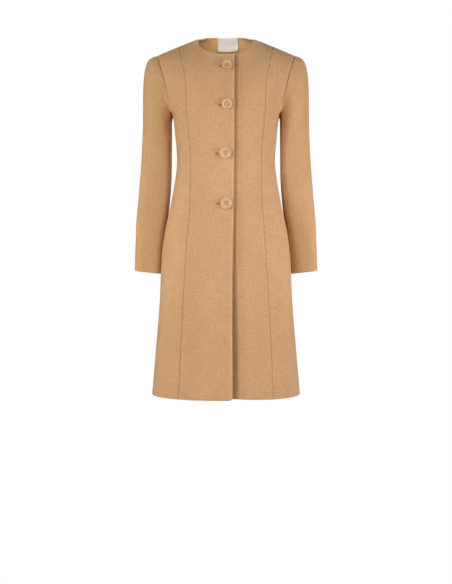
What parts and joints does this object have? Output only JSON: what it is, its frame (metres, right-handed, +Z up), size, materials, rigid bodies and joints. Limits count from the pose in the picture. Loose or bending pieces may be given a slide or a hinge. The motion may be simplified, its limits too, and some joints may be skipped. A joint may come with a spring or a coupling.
{
  "type": "long coat",
  "caption": "Long collarless wool coat for a woman, single breasted, with princess seams, set-in sleeves and large buttons, filled out as when it is worn.",
  "frame": {"origin": "midway between the two shoulders, inside the coat, where a wearer carries it", "axes": "+Z up towards the neck, -Y the way the coat's front faces, +X the wearer's left"},
  "size_m": [0.5172, 0.335, 1.0034],
  "materials": {
    "coat_wool": "camel wool coating, matt, fine twill with a short nap",
    "facing_wool": "the same cloth inside the back neck, a deeper golden brown",
    "label_weave": "cream woven label, plain",
    "button_resin": "camel resin, satin, lighter on the raised rim"
  },
  "bodies": {
    "root": {"front_right": "coat_wool", "front_left": "coat_wool", "side_front_right": "coat_wool", "side_front_left": "coat_wool", "back_right": "coat_wool", "back_left": "coat_wool", "sleeve_upper_right": "coat_wool", "sleeve_upper_left": "coat_wool", "sleeve_under_right": "coat_wool", "sleeve_under_left": "coat_wool", "neck_facing": "facing_wool", "label": "label_weave", "button_1": "button_resin", "button_2": "button_resin", "button_3": "button_resin", "button_4": "button_resin"}
  },
  "joints": []
}
